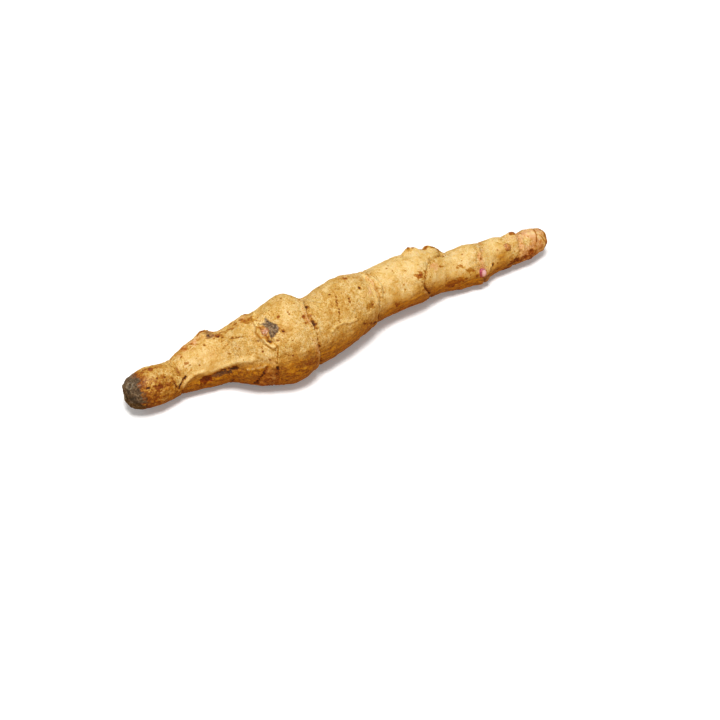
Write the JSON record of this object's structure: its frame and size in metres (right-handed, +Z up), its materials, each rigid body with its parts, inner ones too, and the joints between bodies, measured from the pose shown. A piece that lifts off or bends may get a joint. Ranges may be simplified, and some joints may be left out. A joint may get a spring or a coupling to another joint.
{
  "type": "jerusalem artichoke",
  "caption": "Long knobbly jerusalem artichoke tuber with ringed nodes, a swollen belly and small side buds, lying on its side as dug.",
  "frame": {"origin": "on the surface that the tuber lies on, under the middle of its bounding box", "axes": "+X along the tuber from the old stem end to the growing tip, +Z up, -Y towards the side with the belly"},
  "size_m": [0.1588, 0.0294, 0.0252],
  "materials": {
    "tuber_skin": "thin waxy tuber skin, golden tan with brown node rings and a grey corky stem end, satin"
  },
  "bodies": {
    "root": {"tuber": "tuber_skin"}
  },
  "joints": []
}
